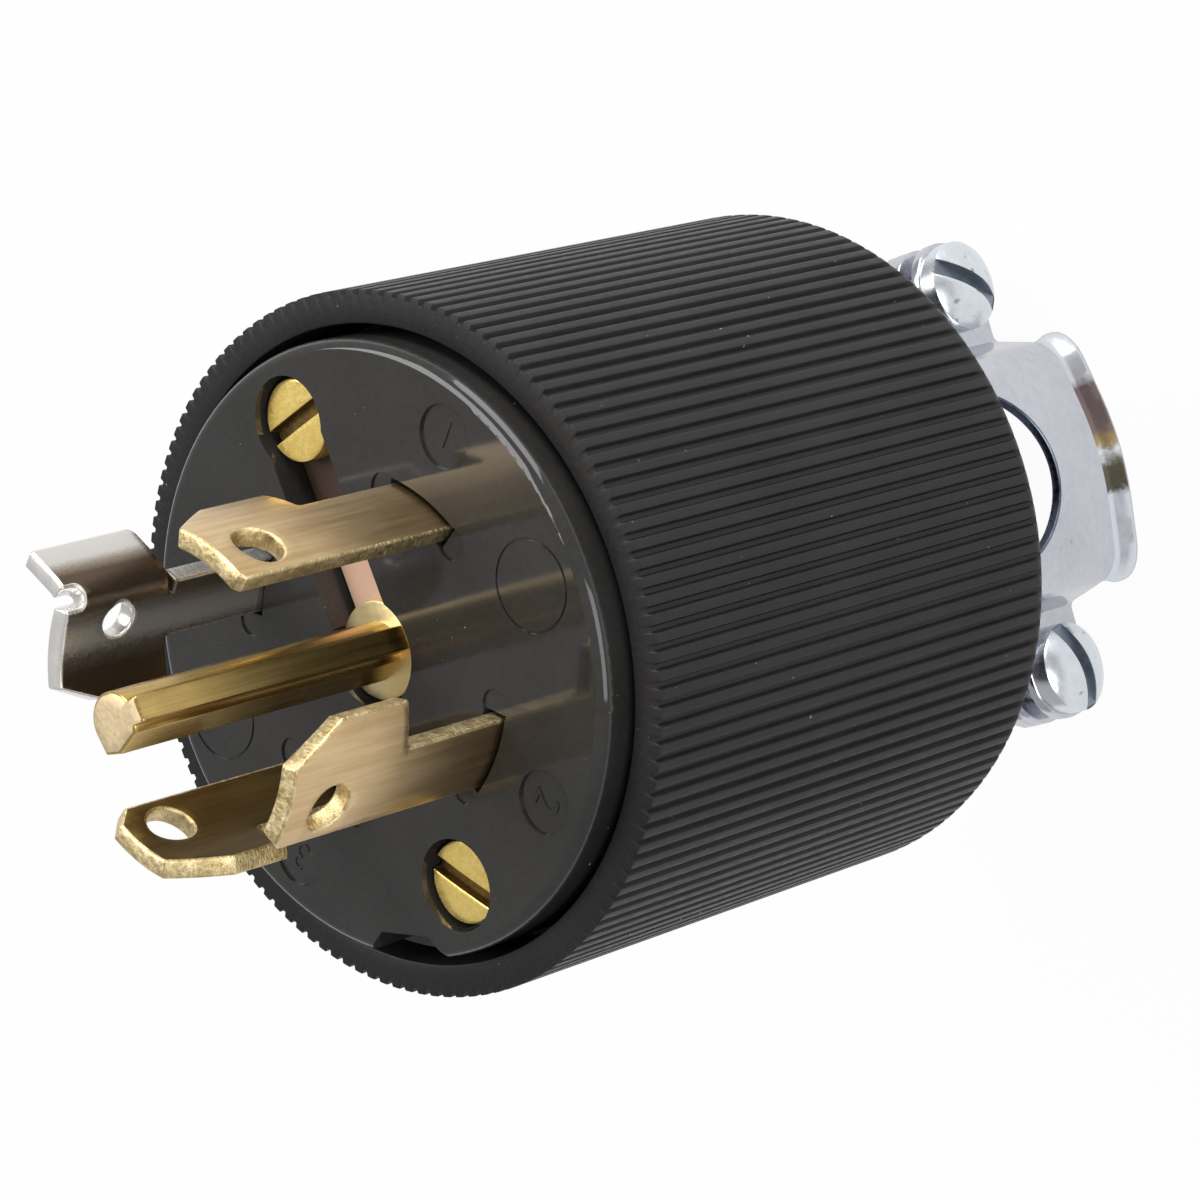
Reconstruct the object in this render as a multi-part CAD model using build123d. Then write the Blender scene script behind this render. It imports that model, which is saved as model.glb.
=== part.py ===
"""Four-pole, five-wire locking plug, standing on its cord clamp with the blades up.

Millimetres. The pieces are drawn lying down: the plug's axis is Y, the blades point to -Y and the
cord leaves to +Y. At the end each piece is turned to stand, so in the exported frame +Z is up and
points along the blades. The origin is on the axis, in the plane of the mating face. Angles turn
about the axis from +X, anticlockwise as they are seen from in front of the blades.
"""
from math import asin, cos, degrees, radians, sin, tan

import os

from build123d import *

# Casing
shell_radius = 28.5
shell_length = 48.2
shell_wall = 2.7
rear_wall = 3.0
rear_rounding = 1.6
rib_count = 124
rib_depth = 0.4
cord_opening_radius = 12.8
boss_radius = 4.4
boss_web = 3.0

# Face insulator
face_proud = 2.3
face_thickness = 11.0
rim_gap = 0.9
face_edge_rounding = 1.0
slot_clearance = 0.35
slot_relief_radius = 1.35
slot_relief_step = 0.9
slot_relief_depth = 0.2
channel_width = 6.5
channel_clearance = 0.4
mark_radius = 2.6
mark_depth = 0.25
mark_inset = 4.5
witness_radius = 3.75
witness_line = 0.22
witness_depth = 0.12
witness_inset = 5.6
witness_angle = 26.0
notch_angle = -81.5
notch_inner_width = 5.2
notch_outer_width = 9.6
notch_depth = 2.1
notch_length = 4.0

# Blades, curved about the plug's axis
blade_radius = 14.4
blade_thickness = 1.6
line_blade_reaches = (21.6, 21.9, 20.6)
neutral_reach = 21.1
line_blade_angles = (66.3, -24.4, -115.0)
line_blade_half_angle = 13.3
neutral_angle = 164.15
neutral_half_angle = 11.15
neutral_hook_angle = 16.5
neutral_bevel_along = 3.8
neutral_bevel_across = 1.6
hook_angle = 15.5
hook_rear = 10.1
hook_bevel_along = 4.8
hook_bevel_across = 2.9
tip_bevels = (0.5, 0.7, 1.5)
contact_hole_radius = 1.95
neutral_hole_radius = 1.55
contact_hole_insets = (4.1, 4.5, 4.1)
neutral_hole_inset = 5.7
flange_angle = 150.0
flange_height = 6.0
flange_bend = 0.6
flange_corner = 1.4
flange_setback = 0.3
flange_relief_radius = 0.6
flange_relief_depth = 1.4

# Ground pin and its strap
pin_radius = 2.4
pin_reach = 27.0
key_angle = 30.0
key_width = 1.95
key_height = 0.95
edge_angle = -109.0
edge_height = 0.47
flat_angle = -42.0
flat_cut = 0.4
collar_radius = 4.05
collar_thickness = 1.7
pin_stub_radius = 1.8
pin_rivet_radius = 2.6
pin_rivet_height = 0.8
strap_width = 5.6
strap_thickness = 0.8

# Assembly screws
assembly_angle = 117.8
assembly_inset = 5.44
seat_depth = 2.6
head_radius = 3.35
head_height = 1.7
head_slot_width = 0.9
head_slot_depth = 0.9
assembly_slot_angles = (35.0, -18.0)
screw_radius = 2.05
screw_hole_clearance = 0.25
thread_gap = 0.02
insert_wall = 1.1
insert_length = 8.0
insert_engagement = 6.5

# Terminals
fit_gap = 0.3
block_length = 16.0
block_wall = 2.4
plate_thickness = 1.6
plate_inner_margin = 1.3
plate_half_angle = 16.0
plate_clearance = 0.1
ground_plate_angle = 21.5
ground_plate_half_angle = 17.0
tail_half_angle = 5.0
stake_height = 0.5
pocket_side_land = 2.0
pocket_inner_land = 0.4
wire_clamp_margin = 0.45
wire_clamp_side_gap = 0.1
wire_clamp_thickness = 1.5
wire_gap = 1.8
terminal_screw_share = 0.257
terminal_head_share = 0.446
terminal_head_height = 2.6

# Cord clamp: u runs from screw to screw, n stands square to the two jaws
clamp_angle = 112.0
jaw_thickness = 1.0
jaw_split = 1.6
jaw_crown = 8.8
jaw_crown_lift = 0.6
jaw_shoulder_height = 6.9
jaw_shoulder = 10.4
jaw_root = 12.1
jaw_crown_radius = 25.0
jaw_shoulder_radius = 3.4
jaw_root_radius = 1.2
ear_end = 22.4
ear_front = 24.8
ear_width = 8.3
ear_corner = 4.0
lip_length = 3.2
lip_flare = 1.2
saddle_gap = 0.2
grip_hole_radius = 7.8
grip_hole_centre = 19.8
leg_half_width = 7.6
foot_height = 6.2
clamp_screw_spacing = 36.0
clamp_screw_radius = 2.0
clamp_hole_clearance = 0.25
clamp_head_radius = 4.1
clamp_head_rim = 1.6
clamp_head_dome = 1.5
clamp_slot_width = 1.1
clamp_slot_angles = (56.0, 12.0)
clamp_slot_depth = 1.3
clamp_screw_tail = 2.5
tapped_pad_thickness = 1.6
tapped_pad_margin = 0.8

# Places worked out from the sizes
bore_radius = shell_radius - shell_wall
face_radius = bore_radius - rim_gap
block_radius = bore_radius - fit_gap
shell_rear = face_proud + shell_length
wall_front = shell_rear - rear_wall
block_rear = face_thickness + block_length
plate_rear = face_thickness + plate_thickness
blade_inner = blade_radius - blade_thickness
blade_middle = blade_radius - blade_thickness / 2
strap_floor = seat_depth + strap_thickness
assembly_circle = face_radius - assembly_inset
assembly_angles = (assembly_angle, assembly_angle + 180)
plate_inner = blade_inner - plate_inner_margin
plate_outer = block_radius - block_wall
pocket_inner = blade_radius + pocket_inner_land
terminal_circle = (pocket_inner + plate_outer) / 2
wire_clamp_length = plate_outer - pocket_inner - 2 * wire_clamp_margin
pocket_spread = tan(radians(plate_half_angle - pocket_side_land))
wire_clamp_breadth = 2 * ((pocket_inner + wire_clamp_margin) * pocket_spread - wire_clamp_side_gap)
terminal_screw_radius = terminal_screw_share * wire_clamp_length
terminal_head_radius = terminal_head_share * wire_clamp_length
terminal_angles = {
    "1": line_blade_angles[0],
    "2": line_blade_angles[1],
    "3": line_blade_angles[2],
    "neutral": neutral_angle,
    "ground": ground_plate_angle,
}
insert_radius = screw_radius + thread_gap + insert_wall
jaw_start = shell_rear + saddle_gap
ear_start = shell_rear + ear_front
clamp_screw_y = ear_start + ear_width / 2
lip_start = ear_start + ear_width - 0.3
grip_hole_y = shell_rear + grip_hole_centre
ear_face = jaw_split / 2 + jaw_thickness


def polar(radius, angle):
    """Point at a radius and angle in a plane across the axis."""
    return (radius * cos(radians(angle)), radius * sin(radians(angle)))


def across(y):
    """Plane across the axis at depth y, seen from in front: its x is X and its y is Z."""
    return Plane(origin=(0, y, 0), x_dir=(1, 0, 0), z_dir=(0, -1, 0))


def slab(sketch, front, rear):
    """Solid of a cross-section between two depths."""
    return extrude(across(rear) * sketch, amount=rear - front)


def disc(radius, angle, circle, front, rear):
    """Round solid along the axis, centred at an angle on a circle."""
    return slab(Pos(*polar(circle, angle)) * Circle(radius), front, rear)


def sector(inner, outer, start, end):
    """Part of a ring between two angles."""
    outside = CenterArc((0, 0), outer, start, end - start)
    inside = CenterArc((0, 0), inner, start, end - start)
    sides = [Line(outside @ 1, inside @ 1), Line(inside @ 0, outside @ 0)]
    return make_face([outside, sides[0], inside, sides[1]])


def skin(radius, angle):
    """Plane that touches a cylinder about the axis: its x runs round it, its y towards the blade tips."""
    x, z = polar(radius, angle)
    out = (cos(radians(angle)), 0, sin(radians(angle)))
    return Plane(origin=(x, 0, z), x_dir=(-out[2], 0, out[0]), z_dir=out)


def radial_bar(width, length, angle):
    """Rectangle that starts on the axis and runs outwards."""
    return Rot(0, 0, angle) * Pos(length / 2, 0) * Rectangle(length, width)


def ribbed_outline():
    """Outline of the casing: rounded ribs that meet in narrow grooves."""
    step = 360 / rib_count
    ribs = []
    for rib in range(rib_count):
        middle = rib * step
        ribs.append(
            ThreePointArc(
                polar(shell_radius - rib_depth, middle - step / 2),
                polar(shell_radius, middle),
                polar(shell_radius - rib_depth, middle + step / 2),
            )
        )
    return make_face(ribs)


def rounded_envelope():
    """Turned solid that rounds the ribs over at the rear."""
    over = 0.05
    outer = shell_radius + over
    start = shell_rear - rear_rounding - over
    bend = RadiusArc((outer, start), (shell_radius - rear_rounding, shell_rear), -rear_rounding - over)
    sides = [Line((0, face_proud), (outer, face_proud)), Line((outer, face_proud), (outer, start))]
    rear = Line((shell_radius - rear_rounding, shell_rear), (0, shell_rear))
    closing = [rear, Line((0, shell_rear), (0, face_proud))]
    return revolve(make_face([*sides, bend, *closing]), Axis.Y)


def make_shell():
    """Casing: ribbed cup with a cord opening in its rear wall and two bosses for the inserts."""
    body = slab(ribbed_outline(), face_proud, shell_rear) & rounded_envelope()
    body -= slab(Circle(bore_radius), face_proud - 1, wall_front)
    for angle in assembly_angles:
        reach = 2 * (bore_radius - assembly_circle)
        web = Rot(0, 0, angle) * Pos(assembly_circle, 0) * Rectangle(reach, boss_web)
        web = slab(web, block_rear, wall_front) & slab(Circle(bore_radius + 0.5), block_rear, wall_front)
        body += disc(boss_radius, angle, assembly_circle, block_rear, wall_front) + web
    drill_radius = screw_radius + screw_hole_clearance
    for angle in assembly_angles:
        body -= disc(insert_radius, angle, assembly_circle, block_rear, block_rear + insert_length)
        body -= disc(drill_radius, angle, assembly_circle, block_rear, block_rear + 2 * insert_length)
    return body - slab(Circle(cord_opening_radius), wall_front - 1, shell_rear + 1)


def blade_slot(middle, half):
    """Space for one blade through the face, with a shallow round relief past each end."""
    wide = half + degrees(slot_clearance / blade_middle)
    inner = blade_inner - slot_clearance
    outer = blade_radius + slot_clearance
    space = slab(sector(inner, outer, middle - wide, middle + wide), -1, face_thickness + 1)
    step = degrees(slot_relief_step / blade_middle)
    for angle in (middle - half - step, middle + half + step):
        space += disc(slot_relief_radius, angle, blade_middle, -1, slot_relief_depth)
    return space


def edge_notch():
    """Trapezoid notch in the rim of the face."""
    inner = face_radius - notch_depth
    outer = face_radius + 1
    spread = notch_outer_width + (notch_outer_width - notch_inner_width) / notch_depth
    shape = Polygon(
        (inner, -notch_inner_width / 2),
        (outer, -spread / 2),
        (outer, spread / 2),
        (inner, notch_inner_width / 2),
        align=None,
    )
    return slab(Rot(0, 0, notch_angle) * shape, -1, notch_length)


def make_face_body():
    """Front insulator with its slots, strap channel, screw seats, marks and notch."""
    body = slab(Circle(face_radius), 0, face_thickness)
    front_edge = body.edges().filter_by(GeomType.CIRCLE).sort_by(Axis.Y)[0]
    body = fillet(front_edge, face_edge_rounding)
    for angle in line_blade_angles:
        body -= blade_slot(angle, line_blade_half_angle)
    body -= blade_slot(neutral_angle, neutral_half_angle)
    seat = head_radius + channel_clearance
    channel = radial_bar(channel_width, assembly_circle, assembly_angle)
    body -= slab(channel, -1, strap_floor)
    body -= disc(seat, assembly_angle, assembly_circle, -1, strap_floor)
    body -= disc(seat, assembly_angle + 180, assembly_circle, -1, seat_depth)
    body -= slab(Circle(collar_radius + channel_clearance), -1, strap_floor)
    body -= slab(Circle(pin_radius + thread_gap), 0, face_thickness + 1)
    for angle in assembly_angles:
        body -= disc(screw_radius + screw_hole_clearance, angle, assembly_circle, 0, face_thickness + 1)
    for angle in line_blade_angles:
        body -= disc(mark_radius, angle, face_radius - mark_inset, -1, mark_depth)
    for angle in (witness_angle, witness_angle + 180):
        ring = Circle(witness_radius) - Circle(witness_radius - witness_line)
        body -= slab(Pos(*polar(face_radius - witness_inset, angle)) * ring, -1, witness_depth)
    return body - edge_notch()


def blade_hole(angle, reach, radius):
    """Round contact hole through a blade, at a distance in front of the face."""
    hole = Pos(0, reach) * Circle(radius)
    return extrude(skin(blade_middle, angle) * hole, amount=2 * blade_thickness, both=True)


def corner_cut(angle, side, reach, along, across_blade):
    """Wedge that bevels a tip corner; side is +1 for the hooked edge and -1 for the plain one."""
    over = 1.0
    shape = Polygon(
        (-side * across_blade, reach),
        (-side * across_blade, reach + over),
        (side * over, reach + over),
        (side * over, reach - along),
        (0, reach - along),
        align=None,
    )
    return extrude(skin(blade_middle, angle) * shape, amount=2 * blade_thickness, both=True)


def blade_tail(middle):
    """Narrow tail of a blade that is staked behind its terminal plate."""
    tail = sector(blade_inner, blade_radius, middle - tail_half_angle, middle + tail_half_angle)
    return slab(tail, face_thickness, plate_rear + stake_height)


def make_line_blade(middle, reach, bevel, hole_inset):
    """Curved brass blade with a hook towards the rising angles."""
    low = middle - line_blade_half_angle
    high = middle + line_blade_half_angle
    blade = slab(sector(blade_inner, blade_radius, low, high), -hook_rear, face_thickness)
    blade += slab(sector(blade_inner, blade_radius, low, high + hook_angle), -reach, -hook_rear)
    blade += blade_tail(middle)
    blade -= blade_hole(middle - 1, reach - hole_inset, contact_hole_radius)
    blade -= corner_cut(high + hook_angle, 1, reach, hook_bevel_along, hook_bevel_across)
    return blade - corner_cut(low, -1, reach, bevel, bevel)


def flange_parts():
    """Bend and flat of the neutral blade's outward flange, and the angle where the bend starts."""
    turn = flange_bend + blade_thickness
    centre = blade_inner + turn
    bend_angle = flange_angle + degrees(asin(turn / centre))
    start = bend_angle - 180
    sweep = flange_angle - 90 - start
    bend = Pos(*polar(centre, bend_angle)) * sector(flange_bend, turn, start, start + sweep)
    flat_start = centre * cos(radians(bend_angle - flange_angle))
    flat_end = blade_inner + flange_height
    flat = Rot(0, 0, flange_angle) * Pos((flat_start + flat_end) / 2, blade_thickness / 2)
    flat = flat * Rectangle(flat_end - flat_start, blade_thickness)
    return bend, flat, bend_angle


def flange_cut():
    """What rounds off the flange's outer corner towards the face."""
    side = (cos(radians(flange_angle)), 0, sin(radians(flange_angle)))
    out = Vector(*side) * (blade_inner + flange_height - flange_corner)
    root = Vector(0, -hook_rear - flange_setback - flange_corner, 0)
    normal = (-side[2], 0, side[0])
    base = Plane(origin=out + root, x_dir=side, z_dir=normal)
    toward_face = 1 if base.y_dir.Y > 0 else -1
    square = Rectangle(2 * flange_corner, 2 * flange_corner)
    corner = Pos(flange_corner, toward_face * flange_corner) * square - Circle(flange_corner)
    return extrude(base * corner, amount=2 * blade_thickness, both=True)


def make_neutral_blade():
    """Plated neutral blade: hooked like the others, with its other edge folded outwards."""
    low = neutral_angle - neutral_half_angle
    high = neutral_angle + neutral_half_angle
    bend, flat, bend_angle = flange_parts()
    tip = flange_setback - neutral_reach
    blade = slab(sector(blade_inner, blade_radius, low, high), -hook_rear, face_thickness)
    hook_end = high + neutral_hook_angle
    blade += slab(sector(blade_inner, blade_radius, bend_angle, hook_end), -neutral_reach, -hook_rear)
    blade += slab(bend, tip, -hook_rear) + (slab(flat, tip, -hook_rear - flange_setback) - flange_cut())
    blade += blade_tail(neutral_angle)
    blade -= blade_hole(neutral_angle - 1, neutral_reach - neutral_hole_inset, neutral_hole_radius)
    blade -= corner_cut(hook_end, 1, neutral_reach, neutral_bevel_along, neutral_bevel_across)
    x, z = polar(blade_middle, (bend_angle + flange_angle) / 2)
    drill = (cos(radians(flange_angle - 45)), 0, sin(radians(flange_angle - 45)))
    relief = Plane(origin=(x, tip + flange_relief_depth, z), x_dir=(0, 1, 0), z_dir=drill)
    notch = Circle(flange_relief_radius) + Pos(-flange_relief_depth, 0) * Rectangle(
        2 * flange_relief_depth, 2 * flange_relief_radius
    )
    return blade - extrude(relief * notch, amount=1.5 * blade_thickness, both=True)


def pin_section():
    """Cross-section of the pin: round, with a square key and one pointed edge."""
    shape = Circle(pin_radius)
    key = Rectangle(pin_radius + key_height, key_width)
    shape += Rot(0, 0, key_angle) * Pos((pin_radius + key_height) / 2, 0) * key
    apex = pin_radius + edge_height
    turn = degrees(asin((1 - (pin_radius / apex) ** 2) ** 0.5))
    edge = Polygon(
        (0, 0),
        polar(pin_radius, -turn),
        (apex, 0),
        polar(pin_radius, turn),
        align=None,
    )
    shape += Rot(0, 0, edge_angle) * edge
    flat = Pos(1.5 * pin_radius - flat_cut, 0) * Rectangle(pin_radius, 2 * pin_radius)
    return shape - Rot(0, 0, flat_angle) * flat


def make_ground_pin():
    """Ground pin with its collar, its round root and the rivet that holds its terminal plate."""
    collar_front = seat_depth - collar_thickness
    pin = slab(pin_section(), -pin_reach, collar_front)
    pin += slab(Circle(collar_radius), collar_front, seat_depth)
    pin += slab(Circle(pin_radius), seat_depth, face_thickness)
    pin += slab(Circle(pin_stub_radius), face_thickness, plate_rear)
    return pin + slab(Circle(pin_rivet_radius), plate_rear, plate_rear + pin_rivet_height)


def make_ground_strap():
    """Copper strap from under the pin's collar to under one assembly screw."""
    strap = radial_bar(strap_width, assembly_circle, assembly_angle) + Circle(strap_width / 2)
    strap += Pos(*polar(assembly_circle, assembly_angle)) * Circle(strap_width / 2)
    strap -= Circle(pin_radius + thread_gap)
    strap -= Pos(*polar(assembly_circle, assembly_angle)) * Circle(screw_radius + thread_gap)
    return slab(strap, seat_depth, strap_floor)


def make_assembly_screw(angle, slot_angle):
    """Slotted screw that holds the face, the block and the casing together."""
    front = seat_depth - head_height
    head = disc(head_radius, angle, assembly_circle, front, seat_depth)
    slot = Rot(0, 0, slot_angle) * Rectangle(3 * head_radius, head_slot_width)
    head -= slab(Pos(*polar(assembly_circle, angle)) * slot, front - 1, front + head_slot_depth)
    return head + disc(screw_radius, angle, assembly_circle, seat_depth, block_rear + insert_engagement)


def make_shell_insert(angle):
    """Threaded brass bush in the front of a boss."""
    rear = block_rear + insert_length
    bush = disc(insert_radius, angle, assembly_circle, block_rear, rear)
    return bush - disc(screw_radius + thread_gap, angle, assembly_circle, block_rear - 1, rear + 1)


def plate_shape(name, grow=0.0):
    """Outline of a terminal plate, grown by a clearance where it is cut out of the block."""
    angle = terminal_angles[name]
    half = ground_plate_half_angle if name == "ground" else plate_half_angle
    side = degrees(grow / blade_radius)
    shape = sector(plate_inner - grow, plate_outer + grow, angle - half - side, angle + half + side)
    if name == "ground":
        shape += radial_bar(2 * (pin_rivet_radius + grow), plate_inner + 2, angle)
        shape += Circle(pin_rivet_radius + 1 + grow)
    return shape


def make_terminal_plate(name):
    """Brass plate behind the face: staked to its blade, and tapped for the wiring screw."""
    angle = terminal_angles[name]
    plate = slab(plate_shape(name), face_thickness, plate_rear)
    if name == "ground":
        plate -= slab(Circle(pin_stub_radius + thread_gap), face_thickness - 1, plate_rear + 1)
    else:
        side = degrees(thread_gap / blade_radius)
        tail = sector(
            blade_inner - thread_gap,
            blade_radius + thread_gap,
            angle - tail_half_angle - side,
            angle + tail_half_angle + side,
        )
        plate -= slab(tail, face_thickness - 1, plate_rear + 1)
    tapped = terminal_screw_radius + thread_gap
    return plate - disc(tapped, angle, terminal_circle, face_thickness - 1, plate_rear + 1)


def wire_pocket(name):
    """Space behind a terminal plate for the wire, its pressure plate and the screw."""
    angle = terminal_angles[name]
    half = ground_plate_half_angle if name == "ground" else plate_half_angle
    side = half - pocket_side_land
    pocket = sector(pocket_inner, plate_outer, angle - side, angle + side)
    return slab(pocket, plate_rear, block_rear + 1)


def make_terminal_block():
    """Rear insulator: seats the terminal plates and divides the five wiring pockets."""
    block = slab(Circle(block_radius), face_thickness, block_rear)
    for name in terminal_angles:
        block -= slab(plate_shape(name, plate_clearance), face_thickness - 1, plate_rear + plate_clearance)
        block -= wire_pocket(name)
    rivet_space = plate_rear + pin_rivet_height + 2 * plate_clearance
    block -= slab(Circle(pin_rivet_radius + 2 * plate_clearance), face_thickness, rivet_space)
    for angle in (*line_blade_angles, neutral_angle):
        stake = sector(
            blade_inner - plate_clearance,
            blade_radius + plate_clearance,
            angle - tail_half_angle - 1,
            angle + tail_half_angle + 1,
        )
        block -= slab(stake, face_thickness, plate_rear + stake_height + plate_clearance)
    drill_radius = screw_radius + screw_hole_clearance
    for angle in assembly_angles:
        block -= disc(drill_radius, angle, assembly_circle, face_thickness - 1, block_rear + 1)
    return block


def make_wire_clamp(name):
    """Square pressure plate that holds a wire under its screw."""
    angle = terminal_angles[name]
    front = plate_rear + wire_gap
    plate = Pos(*polar(terminal_circle, angle)) * Rot(0, 0, angle) * RectangleRounded(
        wire_clamp_length, wire_clamp_breadth, wire_clamp_breadth / 6
    )
    hole = Pos(*polar(terminal_circle, angle)) * Circle(terminal_screw_radius + thread_gap)
    return slab(plate - hole, front, front + wire_clamp_thickness)


def make_terminal_screw(name):
    """Wiring screw with a slotted head, turned from the rear."""
    angle = terminal_angles[name]
    seat = plate_rear + wire_gap + wire_clamp_thickness
    rear = seat + terminal_head_height
    screw = disc(terminal_screw_radius, angle, terminal_circle, face_thickness + plate_clearance, seat)
    head = disc(terminal_head_radius, angle, terminal_circle, seat, rear)
    slot = Rot(0, 0, angle) * Rectangle(3 * terminal_head_radius, head_slot_width)
    slot = Pos(*polar(terminal_circle, angle)) * slot
    return screw + (head - slab(slot, rear - head_slot_depth, rear + 1))


def jaw_section():
    """Cross-section of a jaw's sheet in u and n: flat ears, steep sides and a crowned saddle."""
    ear = jaw_split / 2 + jaw_thickness / 2
    crown = jaw_crown - jaw_thickness / 2 + jaw_crown_lift
    rise = [(ear_end, ear), (jaw_root, ear), (jaw_shoulder, jaw_shoulder_height)]
    fall = [(-u, n) for u, n in reversed(rise)]
    corners = [jaw_root_radius, jaw_shoulder_radius, jaw_crown_radius, jaw_shoulder_radius, jaw_root_radius]
    return trace(FilletPolyline(*rise, (0, crown), *fall, radius=corners), jaw_thickness)


def clamp_plane(y, side):
    """Plane across the axis: its x is u and its y the outward n of the jaw on side +1 or -1."""
    n_angle = clamp_angle - 90 * side
    x_angle = n_angle - 90
    x_dir = Vector(cos(radians(x_angle)), 0, sin(radians(x_angle)))
    return Plane(origin=(0, y, 0), x_dir=x_dir, z_dir=(0, -1, 0))


def jaw_part(side, front, rear, half_width, low, lift=0.0):
    """Jaw sheet between two depths, inside a half width, above a height; lift slants it outwards."""
    plane = clamp_plane(front, side)
    run = Vector(0, rear - front, 0) + plane.y_dir * lift
    tall = 4 * jaw_crown
    frame = Pos(0, low + tall / 2) * Rectangle(2 * half_width, tall)
    sheet = extrude(plane * jaw_section(), amount=run.length, dir=run)
    return sheet & extrude(plane * frame, amount=run.length, dir=run)


def jaw_drill(side, u, y, radius, both=False):
    """Round hole square to the jaws at a place on the sheet."""
    plane = clamp_plane(y, side)
    base = Plane(origin=plane.origin, x_dir=plane.x_dir, z_dir=plane.y_dir)
    return extrude(base * Pos(u, 0) * Circle(radius), amount=4 * jaw_crown, both=both)


def make_clamp_jaw(side):
    """Stamped half of the cord clamp; the jaw on side -1 has thicker, tapped ears."""
    ear_rear = ear_start + ear_width
    foot_front = wall_front - jaw_thickness
    ears = jaw_part(side, ear_start, ear_rear, ear_end, 0)
    short = ears.edges().filter_by(lambda edge: abs(edge.length - jaw_thickness) < 0.01)
    along = clamp_plane(0, side).x_dir
    corners = [edge for edge in short if abs(abs(edge.center().dot(along)) - ear_end) < 0.01]
    jaw = fillet(corners, ear_corner)
    leg_width = jaw_root - jaw_root_radius / 2
    jaw += jaw_part(side, jaw_start, lip_start, leg_width, ear_face)
    saddle = jaw_shoulder_height - 2
    jaw += jaw_part(side, lip_start, lip_start + lip_length, jaw_root, saddle, lip_flare)
    jaw += jaw_part(side, foot_front, jaw_start, leg_half_width, saddle)
    foot = Pos(0, jaw_crown + foot_height / 2 - 1) * Rectangle(2 * leg_half_width - 3, foot_height)
    jaw += extrude(clamp_plane(foot_front + jaw_thickness, side) * foot, amount=jaw_thickness)
    if side < 0:
        pad_length = ear_end - jaw_root - tapped_pad_margin
        height = jaw_split / 2 + jaw_thickness + tapped_pad_thickness / 2
        for flip in (1, -1):
            pad = Rectangle(pad_length, tapped_pad_thickness)
            pad = Pos(flip * (ear_end - pad_length / 2), height) * pad
            jaw += extrude(clamp_plane(ear_rear, side) * pad, amount=ear_width)
    jaw -= jaw_drill(side, 0, grip_hole_y, grip_hole_radius)
    hole_radius = clamp_screw_radius + (clamp_hole_clearance if side > 0 else thread_gap)
    for flip in (1, -1):
        jaw -= jaw_drill(side, flip * clamp_screw_spacing / 2, clamp_screw_y, hole_radius, True)
    return jaw


def make_clamp_screw(flip):
    """Domed, slotted screw through both ears; it is driven from the plain jaw's side."""
    plane = clamp_plane(clamp_screw_y, 1)
    base = Plane(origin=plane.origin, x_dir=plane.x_dir, z_dir=plane.y_dir)
    base = base * Pos(flip * clamp_screw_spacing / 2, 0)
    tip = ear_face + tapped_pad_thickness + clamp_screw_tail
    rim = ear_face + clamp_head_rim
    top = rim + clamp_head_dome
    shank = Pos(0, 0, -tip) * extrude(Circle(clamp_screw_radius), amount=tip + ear_face)
    shoulder = (0.6 * clamp_head_radius, rim + 0.72 * clamp_head_dome)
    dome = ThreePointArc((clamp_head_radius, rim), shoulder, (0, top))
    sides = [Line((0, top), (0, ear_face)), Line((0, ear_face), (clamp_head_radius, ear_face))]
    edge = Line((clamp_head_radius, ear_face), (clamp_head_radius, rim))
    head = revolve(Plane.XZ * make_face([dome, *sides, edge]), Axis.Z)
    slot = Box(3 * clamp_head_radius, clamp_slot_width, 2 * clamp_slot_depth)
    head -= Pos(0, 0, top) * Rot(0, 0, clamp_slot_angles[0 if flip < 0 else 1]) * slot
    return base * (head + shank)


def make_all():
    """Every piece of the plug by its node name."""
    pieces = {"shell": make_shell(), "face_body": make_face_body(), "terminal_block": make_terminal_block()}
    blades = zip(line_blade_angles, line_blade_reaches, tip_bevels, contact_hole_insets)
    for number, (angle, reach, bevel, inset) in enumerate(blades, 1):
        pieces[f"line_blade_{number}"] = make_line_blade(angle, reach, bevel, inset)
    pieces["neutral_blade"] = make_neutral_blade()
    pieces["ground_pin"] = make_ground_pin()
    pieces["ground_strap"] = make_ground_strap()
    for number, angle in enumerate(assembly_angles, 1):
        pieces[f"assembly_screw_{number}"] = make_assembly_screw(angle, assembly_slot_angles[number - 1])
        pieces[f"shell_insert_{number}"] = make_shell_insert(angle)
    for name in terminal_angles:
        pieces[f"terminal_plate_{name}"] = make_terminal_plate(name)
        pieces[f"wire_clamp_{name}"] = make_wire_clamp(name)
        pieces[f"terminal_screw_{name}"] = make_terminal_screw(name)
    pieces["clamp_jaw_plain"] = make_clamp_jaw(1)
    pieces["clamp_jaw_tapped"] = make_clamp_jaw(-1)
    for number, flip in enumerate((-1, 1), 1):
        pieces[f"clamp_screw_{number}"] = make_clamp_screw(flip)
    return pieces


stand_up = Rot(-90, 0, 0)
os.makedirs("parts", exist_ok=True)
for node, piece in make_all().items():
    export_step(stand_up * piece, f"parts/{node}.step")
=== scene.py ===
import bmesh
import bpy
import numpy as np
from mathutils import Matrix, Vector
from mathutils.geometry import delaunay_2d_cdt


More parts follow.
